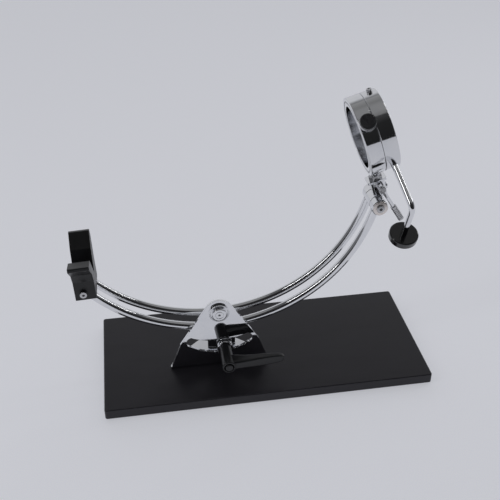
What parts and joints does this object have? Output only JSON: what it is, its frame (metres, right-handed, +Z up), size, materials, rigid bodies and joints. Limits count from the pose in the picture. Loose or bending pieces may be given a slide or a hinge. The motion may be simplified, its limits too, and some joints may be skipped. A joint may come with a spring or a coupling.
{
  "type": "rocking ham stand",
  "caption": "Ham carving stand with a board, an upright bracket, a rocking two-rod arc locked by a lever, a saddle at the low end and a turning hoof ring at the high end.",
  "frame": {"origin": "centre of the underside of the board's mat", "axes": "+X along the board towards the ring, +Y to the back, +Z up"},
  "size_m": [0.4232, 0.178, 0.3557],
  "materials": {
    "black_board": "satin black lacquer with a fine orange peel",
    "rubber_mat": "matt ribbed rubber",
    "chrome": "bright chrome plate",
    "steel": "turned zinc-plated steel",
    "brass": "turned copper-toned washer",
    "black_plastic": "fine-grained satin black plastic",
    "gloss_knob": "polished black thermoset"
  },
  "bodies": {
    "stand": {"base_board": "black_board", "anti_slip_mat": "rubber_mat", "insert_nuts": "steel", "bracket": "chrome", "bracket_screws": "steel", "pivot_bolt": "chrome", "pivot_dish_washer": "chrome", "pivot_nut": "steel", "pivot_washer": "steel"},
    "rocker": {"arc_rod_front": "chrome", "arc_rod_rear": "chrome", "carriage_plate": "chrome", "rod_bridge": "chrome", "clamp_stud": "steel", "clamp_washer": "steel", "knuckle_front": "chrome", "knuckle_rear": "chrome", "hinge_screw": "steel", "hinge_washer": "brass", "hinge_cap_nut": "chrome", "saddle": "black_plastic", "saddle_screws": "steel"},
    "lever_core": {"lever_collar": "chrome", "lever_insert": "steel", "lever_screw": "steel", "lever_spring": "steel"},
    "lever": {"clamp_lever": "black_plastic"},
    "head": {"head_block": "chrome", "head_plate": "chrome", "ring_stem": "chrome", "stem_nut": "steel", "head_side_screw": "chrome", "fixed_ring": "chrome"},
    "ring_lock": {"ring_lock_screw": "steel"},
    "head_lock": {"head_lock_screw": "steel", "lock_bar": "steel", "lock_grip": "steel"},
    "turning_head": {"turning_ring": "chrome", "ring_sleeve": "chrome", "retaining_ring": "steel", "handle_bar": "chrome"},
    "hoof_screw_a": {"hoof_screw_top": "steel"},
    "hoof_screw_b": {"hoof_screw_rear": "steel"},
    "knob": {"turn_knob": "gloss_knob"}
  },
  "joints": [
    {"name": "rocker_tilt", "type": "hinge", "parent": "stand", "child": "rocker", "pos_m": [-0.0555, 0, 0.0958], "axis": [0, 1, 0], "range_deg": [-23, 22]},
    {"name": "lever_turn", "type": "hinge", "parent": "rocker", "child": "lever_core", "pos_m": [-0.04952, -0.03, 0.04414], "axis": [0, -1, 0], "range_deg": [0, 170]},
    {"name": "lever_lift", "type": "slide", "parent": "lever_core", "child": "lever", "axis": [0, -1, 0], "range_m": [0, 0.004], "stiffness_N_per_m": 900, "springref_m": -0.002, "deforming": ["lever_spring"]},
    {"name": "head_tilt", "type": "hinge", "parent": "rocker", "child": "head", "pos_m": [0.136, 0, 0.218], "axis": [0, 1, 0], "range_deg": [-30, 25]},
    {"name": "head_lock_turn", "type": "hinge", "parent": "head", "child": "head_lock", "pos_m": [0.1387, -0.0125, 0.2387], "axis": [0, 1, 0], "range_deg": [-50, 2]},
    {"name": "ring_lock_turn", "type": "hinge", "parent": "head", "child": "ring_lock", "pos_m": [0.10576, -0.04213, 0.33616], "axis": [-0.1933, -0.766, 0.613], "continuous": true},
    {"name": "ring_spin", "type": "hinge", "parent": "head", "child": "turning_head", "pos_m": [0.1245, 0, 0.305], "axis": [0.9537, 0, 0.3007], "range_deg": [-300, 5]},
    {"name": "hoof_screw_a_feed", "type": "slide", "parent": "turning_head", "child": "hoof_screw_a", "axis": [0.2996, -0.0872, -0.9501], "range_m": [-0.003, 0.006]},
    {"name": "hoof_screw_b_feed", "type": "slide", "parent": "turning_head", "child": "hoof_screw_b", "axis": [-0.1175, -0.9205, 0.3726], "range_m": [-0.003, 0.006]},
    {"name": "knob_spin", "type": "hinge", "parent": "turning_head", "child": "knob", "pos_m": [0.151, -0.065, 0.21], "axis": [0.0085, -0.3667, 0.9303], "continuous": true}
  ]
}
